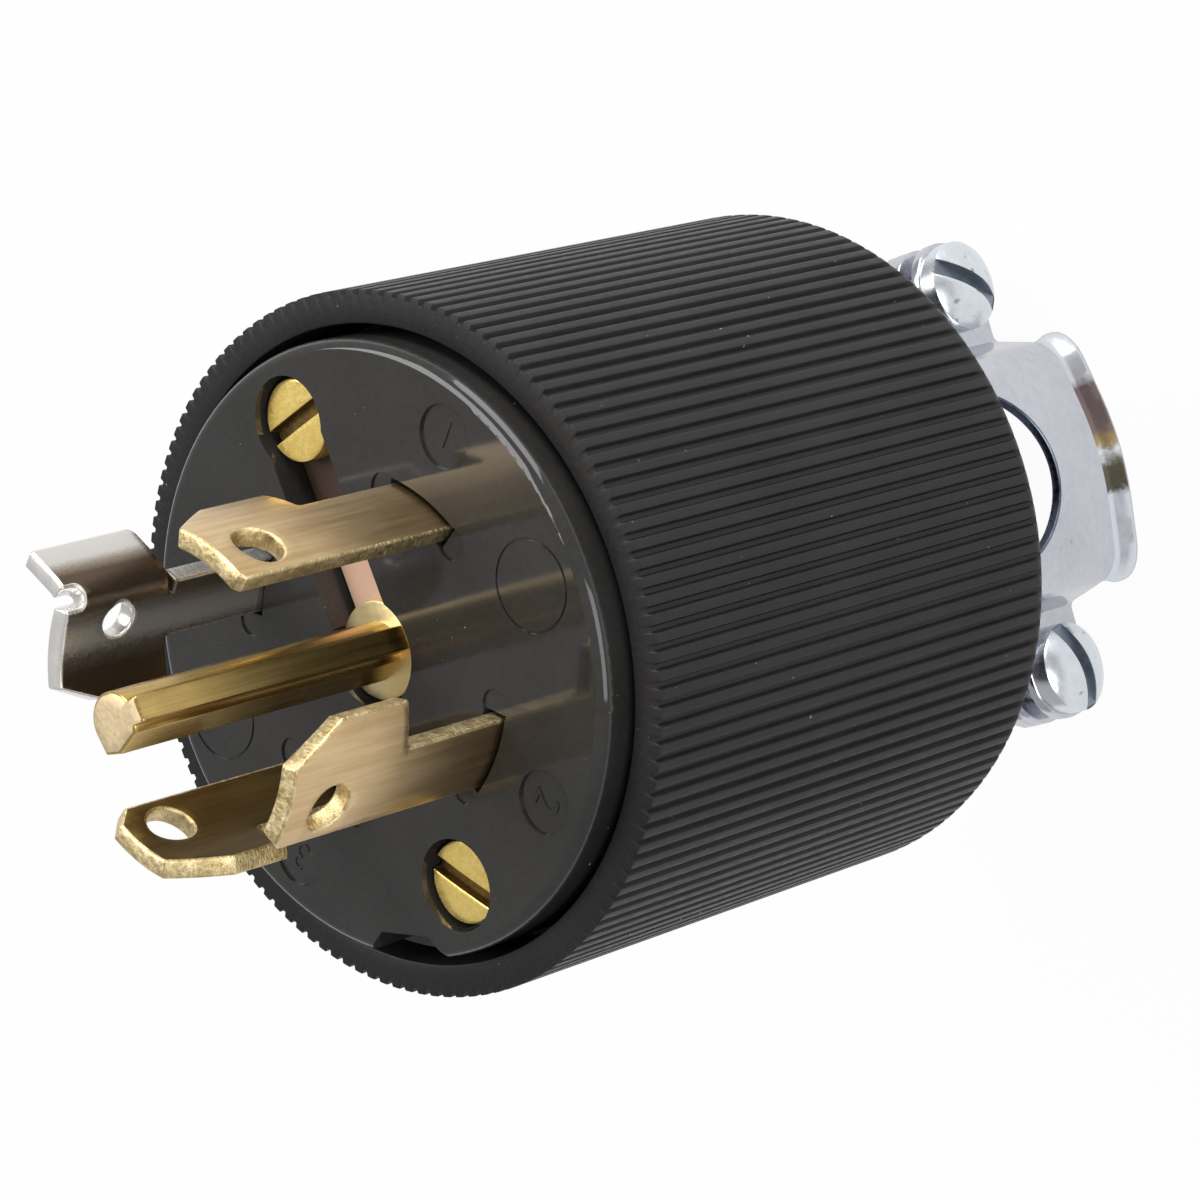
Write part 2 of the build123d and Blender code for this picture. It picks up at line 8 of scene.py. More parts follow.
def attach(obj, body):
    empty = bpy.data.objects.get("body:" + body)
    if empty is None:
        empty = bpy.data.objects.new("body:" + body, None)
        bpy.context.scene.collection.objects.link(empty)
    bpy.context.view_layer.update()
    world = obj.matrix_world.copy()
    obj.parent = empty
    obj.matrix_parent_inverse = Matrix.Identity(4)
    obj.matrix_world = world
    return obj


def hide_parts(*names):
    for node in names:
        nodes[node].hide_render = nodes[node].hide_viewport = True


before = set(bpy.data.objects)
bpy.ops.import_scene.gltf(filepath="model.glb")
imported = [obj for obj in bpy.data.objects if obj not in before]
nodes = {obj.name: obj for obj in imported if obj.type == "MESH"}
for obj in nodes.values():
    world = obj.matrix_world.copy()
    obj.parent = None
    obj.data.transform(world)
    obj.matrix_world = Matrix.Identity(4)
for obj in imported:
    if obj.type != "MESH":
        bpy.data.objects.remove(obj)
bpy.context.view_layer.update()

# Camera: looks down at the blades from one side and is turned so that the standing plug seems to
# lie, with the mating face, the ribbed side and the cord clamp in view. A long product lens.
view_right = Vector((0.7374, 0.0, -0.6755))
view_up = Vector((-0.1702, 0.9677, -0.1856))
view_ahead = Vector((-0.6537, -0.2520, -0.7137))
view_place = Vector((0.24655, 0.09419, 0.2425))
lens = bpy.data.cameras.new("view")
lens.sensor_width = 36.0
lens.lens = 136.43
lens.clip_start = 0.01
camera = bpy.data.objects.new("view", lens)
turn = Matrix((view_right, view_up, -view_ahead)).transposed().to_4x4()
camera.matrix_world = Matrix.Translation(view_place) @ turn
bpy.context.scene.collection.objects.link(camera)
bpy.context.scene.camera = camera
bpy.context.scene.view_settings.view_transform = "Standard"

# Studio: a pale floor that the plug's cord clamp stands on, a white surround, and three large
# soft lights: one along the top of the picture, one at the left for the blades, one in front.
floor_height = -0.0865
floor_mesh = bpy.data.meshes.new("floor")
side = np.array([-4.0, 4.0])
corner_x, corner_y = np.meshgrid(side, side, indexing="ij")
floor_points = np.stack([corner_x, corner_y, np.full((2, 2), floor_height)], -1).reshape(-1, 3)
floor_mesh.from_pydata(floor_points.tolist(), [], [(0, 2, 3, 1)])
floor = bpy.data.objects.new("floor", floor_mesh)
bpy.context.scene.collection.objects.link(floor)
floor_paint = bpy.data.materials.new("floor_paint")
floor_paint.use_nodes = True
tree = floor_paint.node_tree
matt = tree.nodes["Principled BSDF"]
matt.inputs["Base Color"].default_value = (0.78, 0.78, 0.78, 1)
matt.inputs["Roughness"].default_value = 0.85
rays = tree.nodes.new("ShaderNodeLightPath")
seen = tree.nodes.new("ShaderNodeMath")
seen.operation = "MAXIMUM"
tree.links.new(rays.outputs["Is Camera Ray"], seen.inputs[0])
tree.links.new(rays.outputs["Is Transmission Ray"], seen.inputs[1])
share = tree.nodes.new("ShaderNodeMath")
share.operation = "MULTIPLY"
share.inputs[1].default_value = 0.96
tree.links.new(seen.outputs[0], share.inputs[0])
mirrored = tree.nodes.new("ShaderNodeMath")
mirrored.operation = "MULTIPLY_ADD"
mirrored.inputs[1].default_value = 0.8
tree.links.new(rays.outputs["Is Glossy Ray"], mirrored.inputs[0])
tree.links.new(share.outputs[0], mirrored.inputs[2])
white = tree.nodes.new("ShaderNodeEmission")
white.inputs["Color"].default_value = (1, 1, 1, 1)
mixed = tree.nodes.new("ShaderNodeMixShader")
tree.links.new(mirrored.outputs[0], mixed.inputs["Fac"])
tree.links.new(matt.outputs[0], mixed.inputs[1])
tree.links.new(white.outputs[0], mixed.inputs[2])
tree.links.new(mixed.outputs[0], tree.nodes["Material Output"].inputs["Surface"])
floor_mesh.materials.append(floor_paint)

world = bpy.data.worlds.new("surround")
bpy.context.scene.world = world
world.use_nodes = True
tree = world.node_tree
rays = tree.nodes.new("ShaderNodeLightPath")
seen = tree.nodes.new("ShaderNodeMath")
seen.operation = "MAXIMUM"
tree.links.new(rays.outputs["Is Camera Ray"], seen.inputs[0])
tree.links.new(rays.outputs["Is Transmission Ray"], seen.inputs[1])
room = tree.nodes["Background"]
room.inputs["Color"].default_value = (0.50, 0.50, 0.51, 1)
room.inputs["Strength"].default_value = 0.55
backdrop = tree.nodes.new("ShaderNodeBackground")
backdrop.inputs["Color"].default_value = (1, 1, 1, 1)
backdrop.inputs["Strength"].default_value = 1.0
sheen = tree.nodes.new("ShaderNodeBackground")
sheen.inputs["Color"].default_value = (1, 1, 1, 1)
sheen.inputs["Strength"].default_value = 0.48
mirrored = tree.nodes.new("ShaderNodeMixShader")
tree.links.new(rays.outputs["Is Glossy Ray"], mirrored.inputs["Fac"])
tree.links.new(room.outputs[0], mirrored.inputs[1])
tree.links.new(sheen.outputs[0], mirrored.inputs[2])
mixed = tree.nodes.new("ShaderNodeMixShader")
tree.links.new(seen.outputs[0], mixed.inputs["Fac"])
tree.links.new(mirrored.outputs[0], mixed.inputs[1])
tree.links.new(backdrop.outputs[0], mixed.inputs[2])
tree.links.new(mixed.outputs[0], tree.nodes["World Output"].inputs["Surface"])


def soft_light(name, sideways, upwards, nearer, size, power):
    """Square lamp aimed at the plug; its place is given along the camera's right, up and view line."""
    lamp = bpy.data.lights.new(name, "AREA")
    lamp.size = size
    lamp.energy = power
    holder = bpy.data.objects.new(name, lamp)
    aim = Vector((0, 0, -0.03))
    place = aim + view_right * sideways + view_up * upwards - view_ahead * nearer
    towards = (aim - place).to_track_quat("-Z", "Y").to_matrix().to_4x4()
    holder.matrix_world = Matrix.Translation(place) @ towards
    bpy.context.scene.collection.objects.link(holder)


soft_light("light_top", -0.05, 0.7, 0.4, 0.6, 6.0)
soft_light("light_left", -0.75, 0.2, 0.3, 0.5, 4.5)
soft_light("light_front", 0.25, -0.15, 0.8, 0.5, 3.0)

# Casing: charcoal nylon cup moulded in one piece, with flat-topped grip ribs all round, a plain rim
# in front and a rear wall with the cord opening. Two bosses inside take the assembly screws.
mm = 0.001
casing_radius = 28.5
casing_front = 2.3
casing_rear = 50.5
casing_bore = 25.8
casing_floor = 47.5
rear_rounding = 1.6
cord_opening = 12.8
boss_front = 27.0
screw_circle = 19.46
screw_angles = (117.8, -62.2)
rib_total = 124
rib_depth = 0.4


def tone(red, green, blue):
    """Screen colour, 0 to 255 in each part, as the linear light that a shader takes."""
    part = np.array([red, green, blue]) / 255
    linear = np.where(part <= 0.04045, part / 12.92, ((part + 0.055) / 1.055) ** 2.4)
    return (*linear.tolist(), 1.0)


def surface(points, round_u=False, round_v=False):
    """Mesh data of a grid of points in mm, whose rows or columns may close on themselves.
    Quad i, j joins point i, j to the next ones along u and along v."""
    rows, columns = points.shape[:2]
    number = np.arange(rows * columns).reshape(rows, columns)
    if round_u:
        number = np.vstack([number, number[:1]])
    if round_v:
        number = np.hstack([number, number[:, :1]])
    corners = (number[:-1, :-1], number[1:, :-1], number[1:, 1:], number[:-1, 1:])
    return points.reshape(-1, 3), np.stack(corners, -1).reshape(-1, 4)


def piece(name, parts, materials, stands_for=(), crease=40.0):
    """One object from several grids, each (points, faces) or (points, faces, number of its material).
    Points are in mm with the plug lying along Y; here they are stood on end: x, y, z to x, z, -y."""
    start = 0
    points, faces, paints = [], [], []
    for part in parts:
        lying = part[0] * mm
        points.append(np.stack([lying[:, 0], lying[:, 2], -lying[:, 1]], -1))
        faces += (part[1] + start).tolist()
        paints += [part[2] if len(part) > 2 else 0] * len(part[1])
        start += len(lying)
    mesh = bpy.data.meshes.new(name)
    mesh.from_pydata(np.vstack(points).tolist(), [], faces)
    mesh.polygons.foreach_set("material_index", paints)
    work = bmesh.new()
    work.from_mesh(mesh)
    bmesh.ops.remove_doubles(work, verts=work.verts, dist=1e-6)
    bmesh.ops.recalc_face_normals(work, faces=work.faces)
    work.to_mesh(mesh)
    work.free()
    mesh.shade_smooth()
    mesh.set_sharp_from_angle(angle=np.radians(crease))
    for material in materials:
        mesh.materials.append(material)
    made = bpy.data.objects.new(name, mesh)
    bpy.context.scene.collection.objects.link(made)
    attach(made, "root")
    if stands_for:
        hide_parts(*stands_for)
    return made


def turned(radius, depth, angles, circle=0.0, circle_angle=0.0):
    """Profile of radii and depths carried round an axis along Y, which may stand on a circle.
    A two-dimensional radius gives every angle its own profile."""
    angle = np.radians(angles)[None, :]
    radius = np.asarray(radius, float)
    radius = radius if radius.ndim == 2 else radius[:, None]
    depth = np.broadcast_to(np.asarray(depth, float)[:, None], (radius.shape[0], angle.shape[1]))
    x = circle * np.cos(np.radians(circle_angle))
    z = circle * np.sin(np.radians(circle_angle))
    return np.stack([x + radius * np.cos(angle), depth, z + radius * np.sin(angle)], -1)


# Across one rib: crown with rounded corners, steep side, groove floor, and up the next rib's side.
rib_pitch = 2 * np.pi * casing_radius / rib_total
rib_half = 0.41
side_run = 0.10
rib_across = np.array([-rib_half, -0.38, -0.33, -0.12, 0.12, 0.33, 0.38, rib_half])
rib_drop = np.array([0.07, 0.02, 0.0, 0.0, 0.0, 0.0, 0.02, 0.07])
groove_across = np.array([rib_half + side_run, rib_half + side_run + 0.04])
groove_across = np.concatenate([groove_across, rib_pitch - groove_across[::-1]])
groove_drop = np.array([rib_depth - 0.04, rib_depth, rib_depth, rib_depth - 0.04])
across_one = np.concatenate([rib_across, groove_across]) / casing_radius
drop_one = np.concatenate([rib_drop, groove_drop])
rib_starts = np.arange(rib_total) * 360 / rib_total
angles = (rib_starts[:, None] + np.degrees(across_one)[None, :]).ravel()
ribbed = np.tile(casing_radius - drop_one, rib_total)[None, :]

edge = 0.12
bend = np.radians(np.linspace(0, 90, 4))
rim_share = np.array([0.0, 0.5, 1.0])[:, None]
rim_rows = (casing_bore + 0.2) + (ribbed - edge - casing_bore - 0.2) * rim_share
edge_rows = ribbed - edge + edge * np.sin(bend[1:])[:, None]
length_depths = np.linspace(casing_front + edge + 0.3, casing_rear - rear_rounding, 12)
length_rows = np.repeat(ribbed, 12, 0)
rear_bend = np.radians(np.linspace(0, 90, 10)[1:])
rear_limit = casing_radius - rear_rounding + rear_rounding * np.cos(rear_bend)
rear_rows = np.minimum(ribbed, rear_limit[:, None])
rear_depths = casing_rear - rear_rounding + rear_rounding * np.sin(rear_bend)
edge_depths = casing_front + edge - edge * np.cos(bend[1:])
outer_radius = np.vstack([rim_rows, edge_rows, length_rows, rear_rows])
outer_depth = np.concatenate([np.full(3, casing_front), edge_depths, length_depths, rear_depths])
opening_bend = np.radians(np.linspace(0, 90, 6))
opening_radius = cord_opening + 0.6 - 0.6 * np.sin(opening_bend)
opening_depth = casing_rear - 0.6 + 0.6 * np.cos(opening_bend)
inside_radius = [cord_opening, cord_opening + 0.2, 18.0, casing_bore - 0.4, casing_bore]
inside_depth = [casing_floor + 0.2, casing_floor, casing_floor, casing_floor, casing_floor - 0.4]
bore_radius = [casing_bore, casing_bore, casing_bore, casing_bore + 0.06]
bore_depth = [30.0, 15.0, casing_front + 0.2, casing_front + 0.06]
inner_radius = np.concatenate([[24.0, 18.0], opening_radius, inside_radius, bore_radius])
inner_depth = np.concatenate([[casing_rear] * 2, opening_depth, inside_depth, bore_depth])
all_radius = np.vstack([outer_radius, np.repeat(inner_radius[:, None], angles.size, 1)])
all_depth = np.concatenate([outer_depth, inner_depth])
casing_parts = [surface(turned(all_radius, all_depth, angles), True, True)]

round_about = np.linspace(0, 360, 49)[:-1]
boss_radius = [3.2, 4.3, 4.4, 4.4, 2.3, 2.3, 3.2]
boss_depth = [boss_front, boss_front, boss_front + 0.1, casing_floor + 0.5, casing_floor + 0.5, 35.0, 35.0]
for angle in screw_angles:
    boss = turned(boss_radius, boss_depth, round_about, screw_circle, angle)
    casing_parts.append(surface(boss, True, True))
    web_across = np.array([-1.5, 1.5, 1.5, -1.5])[:, None]
    web_out = np.array([screw_circle + 4.2, casing_bore + 0.3])[None, :]
    along = np.cos(np.radians(angle)), np.sin(np.radians(angle))
    web = [
        along[0] * web_out - along[1] * web_across,
        np.broadcast_to(np.array([boss_front, boss_front, casing_floor, casing_floor])[:, None], (4, 2)),
        along[1] * web_out + along[0] * web_across,
    ]
    casing_parts.append(surface(np.stack(web, -1), True))


def finish(
    name, dark, light, metallic, roughness, stretch, spread=0.08, bump=0.02, speck=0.0, cloud=130.0,
    glint=0.5, speck_tone=(190, 188, 182), speck_level=0.79, speck_size=1600.0
):
    """Material: cloudy colour between two tones, fine roughness and bump, on Object coordinates.
    stretch is how many grains there are per metre along X, Y and Z, spread how far the roughness
    varies, bump the grains' height in mm, cloud how many clouds there are per metre, and speck how
    strongly small spots of dust or stain show, where their noise is above a level."""
    made = bpy.data.materials.new(name)
    made.use_nodes = True
    tree = made.node_tree
    shader = tree.nodes["Principled BSDF"]
    shader.inputs["Metallic"].default_value = metallic
    shader.inputs["Specular IOR Level"].default_value = glint
    place = tree.nodes.new("ShaderNodeTexCoord")
    grain = tree.nodes.new("ShaderNodeMapping")
    grain.inputs["Scale"].default_value = stretch
    tree.links.new(place.outputs["Object"], grain.inputs["Vector"])
    fine = tree.nodes.new("ShaderNodeTexNoise")
    fine.inputs["Scale"].default_value = 1.0
    fine.inputs["Detail"].default_value = 5.0
    fine.inputs["Roughness"].default_value = 0.6
    tree.links.new(grain.outputs[0], fine.inputs["Vector"])
    broad = tree.nodes.new("ShaderNodeTexNoise")
    broad.inputs["Scale"].default_value = cloud
    broad.inputs["Detail"].default_value = 4.0
    tree.links.new(place.outputs["Object"], broad.inputs["Vector"])
    both = tree.nodes.new("ShaderNodeMix")
    both.inputs["Factor"].default_value = 0.5
    tree.links.new(fine.outputs["Fac"], both.inputs["A"])
    tree.links.new(broad.outputs["Fac"], both.inputs["B"])
    ramp = tree.nodes.new("ShaderNodeValToRGB")
    ramp.color_ramp.elements[0].position = 0.35
    ramp.color_ramp.elements[0].color = dark
    ramp.color_ramp.elements[1].position = 0.65
    ramp.color_ramp.elements[1].color = light
    tree.links.new(both.outputs["Result"], ramp.inputs["Fac"])
    gloss = tree.nodes.new("ShaderNodeMapRange")
    gloss.inputs["From Min"].default_value = 0.3
    gloss.inputs["From Max"].default_value = 0.7
    gloss.inputs["To Min"].default_value = roughness - spread
    gloss.inputs["To Max"].default_value = roughness + spread
    tree.links.new(fine.outputs["Fac"], gloss.inputs["Value"])
    tree.links.new(gloss.outputs[0], shader.inputs["Roughness"])
    bumps = tree.nodes.new("ShaderNodeBump")
    bumps.inputs["Distance"].default_value = bump * mm
    tree.links.new(fine.outputs["Fac"], bumps.inputs["Height"])
    tree.links.new(bumps.outputs[0], shader.inputs["Normal"])
    colour = ramp.outputs["Color"]
    if speck:
        dust = tree.nodes.new("ShaderNodeTexNoise")
        dust.inputs["Scale"].default_value = speck_size
        dust.inputs["Detail"].default_value = 1.0
        tree.links.new(place.outputs["Object"], dust.inputs["Vector"])
        rare = tree.nodes.new("ShaderNodeMapRange")
        rare.inputs["From Min"].default_value = speck_level
        rare.inputs["From Max"].default_value = speck_level + 0.05
        rare.inputs["To Max"].default_value = speck
        tree.links.new(dust.outputs["Fac"], rare.inputs["Value"])
        dusty = tree.nodes.new("ShaderNodeMix")
        dusty.data_type = "RGBA"
        dusty.inputs["B"].default_value = tone(*speck_tone)
        tree.links.new(rare.outputs[0], dusty.inputs["Factor"])
        tree.links.new(colour, dusty.inputs["A"])
        colour = dusty.outputs["Result"]
    tree.links.new(colour, shader.inputs["Base Color"])
    return made


casing_nylon = finish(
    "casing_nylon", tone(29, 28, 28), tone(38, 37, 37), 0.0, 0.44, (2500, 2500, 900), speck=0.5, glint=0.22
)
piece("casing", casing_parts, [casing_nylon], ["shell"], crease=35.0)

# Face: semi-gloss moulded insulator that carries the blades, with the strap's channel, the two
# screw seats, three round marks and the notch in its edge. It is screwed in front of the block.


def repaint(material, *names):
    """Gives CAD nodes that stay visible their finish."""
    for name in names:
        slots = nodes[name].data.materials
        slots.clear()
        slots.append(material)


face_plastic = finish(
    "face_plastic", tone(43, 42, 41), tone(52, 51, 50), 0.0, 0.08, (1500, 1500, 1500), 0.015, 0.001,
    speck=0.8, glint=0.46
)
repaint(face_plastic, "face_body")

# Numerals: one small figure, moulded with the face, on the floor of each of its three round marks.
# Each stands beside the line blade that it numbers.
blade_angles = (66.3, -24.4, -115.0)
mark_circle = 20.4
mark_floor = 0.25
figure_size = 3.6
figure_half_height = 0.06
figure_lift = 0.05
for figure, mark_angle in zip("123", blade_angles):
    letter = bpy.data.curves.new(f"figure_{figure}", "FONT")
    letter.body = figure
    letter.size = figure_size
    letter.align_x = "CENTER"
    letter.align_y = "CENTER"
    letter.extrude = figure_half_height
    letter.offset = -0.05
    letter.resolution_u = 4
    drawn = bpy.data.objects.new(f"drawn_{figure}", letter)
    bpy.context.scene.collection.objects.link(drawn)
    bpy.context.view_layer.update()
    flat = bpy.data.meshes.new_from_object(drawn)
    bpy.data.objects.remove(drawn)
    spot = np.array([np.cos(np.radians(mark_angle)), np.sin(np.radians(mark_angle))]) * mark_circle * mm
    slant = Matrix.Rotation(np.radians(mark_angle - 90), 4, "Z")
    shrink = Matrix.Diagonal((mm, mm, mm, 1))
    flat.transform(Matrix.Translation((*spot, (figure_lift - mark_floor) * mm)) @ slant @ shrink)
    flat.materials.clear()
    flat.materials.append(face_plastic)
    figure_piece = bpy.data.objects.new(f"mark_{figure}", flat)
    bpy.context.scene.collection.objects.link(figure_piece)
    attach(figure_piece, "root")

# Terminal block: dull black moulding behind the face, hidden in the casing, with a pocket for each
# terminal. Its CAD node stays and takes its own finish.
block_plastic = finish("block_plastic", tone(30, 30, 30), tone(44, 43, 42), 0.0, 0.5, (2000, 2000, 2000))
repaint(block_plastic, "terminal_block")

# Line blades: three stamped brass blades, bent to the circle of the blades, each with a hook at
# the tip and a contact hole. Their sheared edges are bright and torn; the third is tarnished.
blade_thickness = 1.6
blade_middle = 13.6
blade_rear = 11.0
blade_half_angle = 13.3
blade_edge = 0.22
hook_angle = 28.8
hook_rear = -10.1
hook_bevel = (2.9, 4.8)
tail_half_angle = 5.0
tail_rear = 13.1
contact_radius = 1.95


def rounded(corners, radii, step=0.6, closed=True):
    """Outline through corners, each cut off by an arc that touches both of its sides. Along an arc
    the point turns evenly about the corner's centre; straight runs are divided into equal steps."""
    corners = np.array(corners, float)
    radii = np.array(radii, float)
    back = np.roll(corners, 1, 0) - corners
    ahead = np.roll(corners, -1, 0) - corners
    back /= np.linalg.norm(back, axis=1, keepdims=True)
    ahead /= np.linalg.norm(ahead, axis=1, keepdims=True)
    half = np.arccos(np.clip((back * ahead).sum(1), -0.99999, 0.99999)) / 2
    reach = (radii / np.tan(half))[:, None]
    middle = back + ahead
    middle /= np.linalg.norm(middle, axis=1, keepdims=True)
    centres = corners + middle * (radii / np.sin(half))[:, None]
    starts = corners + back * reach
    ends = corners + ahead * reach
    sweeps = np.pi - 2 * half
    share = np.linspace(0, 1, 7)[:, None]
    runs = []
    for spot in range(len(corners)):
        last = not closed and spot == len(corners) - 1
        if not closed and spot in (0, len(corners) - 1):
            runs.append(corners[spot][None, :])
            leaving = corners[spot]
        else:
            sweep = sweeps[spot]
            first = (starts[spot] - centres[spot]) * np.sin((1 - share) * sweep)
            second = (ends[spot] - centres[spot]) * np.sin(share * sweep)
            runs.append(centres[spot] + (first + second) / np.sin(sweep))
            leaving = ends[spot]
        if last:
            break
        following = (spot + 1) % len(corners)
        arriving = corners[following] if not closed and following == len(corners) - 1 else starts[following]
        gap = np.linalg.norm(arriving - leaving)
        cuts = int(np.ceil(gap / step))
        runs.append(leaving + (arriving - leaving) * np.linspace(0, 1, cuts + 1)[1:-1, None])
    return np.vstack(runs)


def within(points, outline):
    """Whether points lie inside a closed outline: a line to their right crosses it an odd number of times."""
    x, y = points[:, :1], points[:, 1:]
    start_x, start_y = outline[:, 0], outline[:, 1]
    end_x, end_y = np.roll(outline, -1, 0).T
    crosses = (start_y > y) != (end_y > y)
    rise = np.where(end_y == start_y, 1.0, end_y - start_y)
    at = start_x + (y - start_y) * (end_x - start_x) / rise
    return (crosses & (x < at)).sum(1) % 2 == 1


def sheet(outline, holes, thickness, edge, place, step=0.7, paint=0, edge_paint=0):
    """Sheet metal of one thickness with rounded edges. The outline runs anticlockwise and the holes
    clockwise in flat coordinates; place bends (along, depth, height above the middle) to x, y, z."""
    bend = np.radians(np.linspace(0, 90, 4))
    inset = edge * (1 - np.sin(bend))
    height = thickness / 2 - edge + edge * np.cos(bend)
    inset = np.concatenate([inset, inset[::-1]])
    height = np.concatenate([height, -height[::-1]])
    parts, borders, sides = [], [], []
    start = 0
    for loop in (outline, *holes):
        ahead = np.roll(loop, -1, 0) - np.roll(loop, 1, 0)
        ahead /= np.linalg.norm(ahead, axis=1, keepdims=True)
        outwards = np.stack([ahead[:, 1], -ahead[:, 0]], -1)
        ring = loop[:, None, :] - outwards[:, None, :] * inset[None, :, None]
        level = np.broadcast_to(height[None, :, None], (*ring.shape[:2], 1))
        points, faces = surface(place(np.concatenate([ring, level], -1)), True)
        parts.append((points, faces, edge_paint))
        borders.append(ring[:, 0])
        number = np.arange(len(loop))
        sides.append(np.stack([number, np.roll(number, -1)], -1) + start)
        start += len(loop)
    border = np.vstack(borders)
    low, high = border.min(0), border.max(0)
    columns = np.arange(low[0] + step / 2, high[0], step)
    rows = np.arange(low[1] + step / 2, high[1], step)
    inner = np.stack(np.meshgrid(columns, rows), -1).reshape(-1, 2)
    away = np.linalg.norm(inner[:, None, :] - border[None, :, :], axis=2).min(1) > 0.5 * step
    inner = inner[away]
    everything = [Vector(point) for point in np.vstack([border, inner]).tolist()]
    found = delaunay_2d_cdt(everything, np.vstack(sides).tolist(), [], 0, 1e-7)
    flat = np.array([point[:] for point in found[0]])
    triangles = np.array(found[2])
    middles = flat[triangles].mean(1)
    kept = within(middles, borders[0])
    for hole in borders[1:]:
        kept &= ~within(middles, hole)
    triangles = triangles[kept]
    for side_height in (thickness / 2, -thickness / 2):
        level = np.full((len(flat), 1), side_height)
        parts.append((place(np.hstack([flat, level])), triangles, paint))
    return parts


def round_hole(along, depth, radius, count=40):
    """Circle about a place on a flat sheet, run clockwise."""
    angle = -np.linspace(0, 2 * np.pi, count + 1)[:-1]
    return np.stack([along + radius * np.cos(angle), depth + radius * np.sin(angle)], -1)


def round_the_axis(points):
    """Bends flat coordinates about the plug's axis: along is the arc at the middle of the blade."""
    angle = points[..., 0] / blade_middle
    radius = blade_middle + points[..., 2]
    return np.stack([radius * np.cos(angle), points[..., 1], radius * np.sin(angle)], -1)


blade_brass = finish(
    "blade_brass", tone(190, 160, 115), tone(228, 200, 156), 1.0, 0.34, (1700, 1700, 90), 0.02, 0.0004
)
tarnished_brass = finish(
    "tarnished_brass", tone(126, 101, 58), tone(160, 132, 82), 1.0, 0.34, (1700, 1700, 90), 0.02, 0.0004
)
blade_edge_brass = finish(
    "blade_edge_brass", tone(172, 146, 94), tone(246, 228, 180), 1.0, 0.42, (2200, 2200, 4600), 0.12, 0.08,
    0.45, 700.0, speck_tone=(92, 72, 40), speck_level=0.66, speck_size=4200.0
)
blade_sizes = (
    ("line_blade_1", 21.6, 0.5, 4.1, blade_brass),
    ("line_blade_2", 21.9, 0.7, 4.5, blade_brass),
    ("line_blade_3", 20.6, 1.5, 4.1, tarnished_brass),
)
for middle_angle, (name, reach, bevel, hole_inset, flat_brass) in zip(blade_angles, blade_sizes):
    low = np.radians(middle_angle - blade_half_angle) * blade_middle
    high = np.radians(middle_angle + blade_half_angle) * blade_middle
    hook = np.radians(middle_angle + hook_angle) * blade_middle
    tail = np.radians([middle_angle + tail_half_angle, middle_angle - tail_half_angle]) * blade_middle
    corners = [
        (low, blade_rear),
        (low, bevel - reach),
        (low + bevel, -reach),
        (hook - hook_bevel[0], -reach),
        (hook, hook_bevel[1] - reach),
        (hook, hook_rear),
        (high, hook_rear),
        (high, blade_rear),
        (tail[0], blade_rear),
        (tail[0], tail_rear),
        (tail[1], tail_rear),
        (tail[1], blade_rear),
    ]
    radii = [0.2, 0.15, 0.15, 0.4, 0.4, 0.3, 0.35, 0.2, 0.1, 0.2, 0.2, 0.1]
    outline = rounded(corners, radii)
    hole = round_hole(np.radians(middle_angle - 1) * blade_middle, hole_inset - reach, contact_radius)
    parts = sheet(outline, [hole], blade_thickness, blade_edge, round_the_axis, paint=0, edge_paint=1)
    piece(f"{name}_dressed", parts, [flat_brass, blade_edge_brass], [name], crease=50.0)

# Neutral blade: nickel-plated, hooked like the others, with its other edge folded outwards into a
# flange, and a relief notch at the tip end of the fold. It is pressed through the face's slot.
neutral_start = 191.8
neutral_reach = 21.1
fold_start = 158.482
tight_run = 0.785
tight_angle = 45.0
wide_radius = 2.8
fold_angle = 81.518
fold_length = 2.57
flange_width = 3.29
slit_front = -10.36
slit_middle = -10.25
slit_start = 0.05


def neutral_along(angle):
    """Flat coordinate of an angle about the plug's axis: the arc from the hook at the middle radius."""
    return np.radians(neutral_start - angle) * blade_middle


arc_length = neutral_along(fold_start)
flange_end = arc_length + fold_length + flange_width
fold_run = np.linspace(0, 6.0, 601)
wide_turn = np.radians(tight_angle) + (fold_run - tight_run) / wide_radius
fold_turn = np.where(fold_run < tight_run, fold_run, np.minimum(wide_turn, np.radians(fold_angle)))
fold_heading = np.radians(fold_start - 90) + fold_turn
fold_steps = np.stack([np.cos(fold_heading), np.sin(fold_heading)], -1) * fold_run[1]
fold_origin = np.array([np.cos(np.radians(fold_start)), np.sin(np.radians(fold_start))]) * blade_middle
fold_path = np.cumsum(fold_steps, 0) + fold_origin


def neutral_place(points):
    """Bends flat coordinates: round the axis from the hook, and in front of the slit through the fold,
    whose heading turns quickly for 45 degrees and then slowly until it points straight outwards."""
    along, depth, height = points[..., 0], points[..., 1], points[..., 2]
    arc = np.radians(neutral_start) - along / blade_middle
    on_arc = np.stack([(blade_middle + height) * np.cos(arc), (blade_middle + height) * np.sin(arc)], -1)
    run = along - arc_length
    heading = np.interp(run, fold_run, fold_heading)
    x = np.interp(run, fold_run, fold_path[:, 0]) - height * np.sin(heading)
    z = np.interp(run, fold_run, fold_path[:, 1]) + height * np.cos(heading)
    folded = (depth < slit_middle) & (run > 0)
    flat = np.where(folded[..., None], np.stack([x, z], -1), on_arc)
    return np.stack([flat[..., 0], depth, flat[..., 1]], -1)


